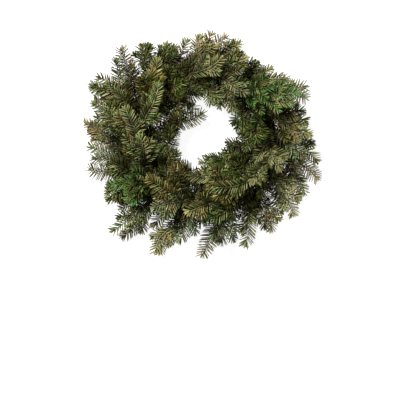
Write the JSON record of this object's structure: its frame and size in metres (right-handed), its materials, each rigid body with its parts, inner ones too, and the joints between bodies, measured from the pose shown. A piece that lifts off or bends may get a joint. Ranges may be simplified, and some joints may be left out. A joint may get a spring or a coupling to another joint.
{
  "type": "preserved fir wreath",
  "caption": "Round fir wreath: overlapping sprigs bound clockwise onto a flat-backed straw ring with wire, open in the middle.",
  "frame": {"origin": "under the middle of the wreath's box, on the plane that its flat back lies on", "axes": "+Z out of the wreath's face, through its thickness; +Y towards the top of the wreath as it hangs; +X to the right seen from the face"},
  "size_m": [0.4505, 0.4356, 0.0998],
  "materials": {
    "fir_olive": "matt dark olive-green needles on brown stems",
    "fir_golden": "matt yellow-olive needles on olive stems",
    "fir_emerald": "satin bright green needles",
    "fir_bluish": "matt blue-green needles",
    "fir_brown": "dry brownish-green needles on dark stems",
    "straw": "wound dry straw",
    "wire": "thin green florist's wire"
  },
  "bodies": {
    "root": {"straw_ring": "straw", "binding_wire": "wire", "outer_low_sprig_01": "fir_olive", "outer_low_sprig_02": "fir_olive", "outer_low_sprig_03": "fir_olive", "outer_low_sprig_04": "fir_brown", "outer_low_sprig_05": "fir_olive", "outer_low_sprig_06": "fir_golden", "outer_low_sprig_07": "fir_brown", "outer_low_sprig_08": "fir_olive", "outer_low_sprig_09": "fir_brown", "outer_low_sprig_10": "fir_brown", "outer_low_sprig_11": "fir_brown", "outer_low_sprig_12": "fir_brown", "outer_low_sprig_13": "fir_bluish", "outer_low_sprig_14": "fir_olive", "outer_high_sprig_01": "fir_golden", "outer_high_sprig_02": "fir_olive", "outer_high_sprig_03": "fir_golden", "outer_high_sprig_04": "fir_bluish", "outer_high_sprig_05": "fir_olive", "outer_high_sprig_06": "fir_olive", "outer_high_sprig_07": "fir_bluish", "outer_high_sprig_08": "fir_bluish", "outer_high_sprig_09": "fir_olive", "outer_high_sprig_10": "fir_olive", "outer_high_sprig_11": "fir_olive", "outer_high_sprig_12": "fir_bluish", "outer_high_sprig_13": "fir_olive", "outer_high_sprig_14": "fir_golden", "inner_sprig_01": "fir_olive", "inner_sprig_02": "fir_emerald", "inner_sprig_03": "fir_olive", "inner_sprig_04": "fir_olive", "inner_sprig_05": "fir_olive", "inner_sprig_06": "fir_golden", "inner_sprig_07": "fir_brown", "inner_sprig_08": "fir_golden", "inner_sprig_09": "fir_olive", "inner_sprig_10": "fir_olive", "inner_sprig_11": "fir_brown", "inner_sprig_12": "fir_golden", "inner_sprig_13": "fir_olive", "inner_sprig_14": "fir_olive", "top_sprig_01": "fir_bluish", "top_sprig_02": "fir_emerald", "top_sprig_03": "fir_emerald", "top_sprig_04": "fir_olive", "top_sprig_05": "fir_olive", "top_sprig_06": "fir_golden", "top_sprig_07": "fir_golden", "top_sprig_08": "fir_bluish", "top_sprig_09": "fir_emerald", "top_sprig_10": "fir_olive", "top_sprig_11": "fir_olive", "top_sprig_12": "fir_golden", "top_sprig_13": "fir_olive", "top_sprig_14": "fir_olive"}
  },
  "joints": []
}
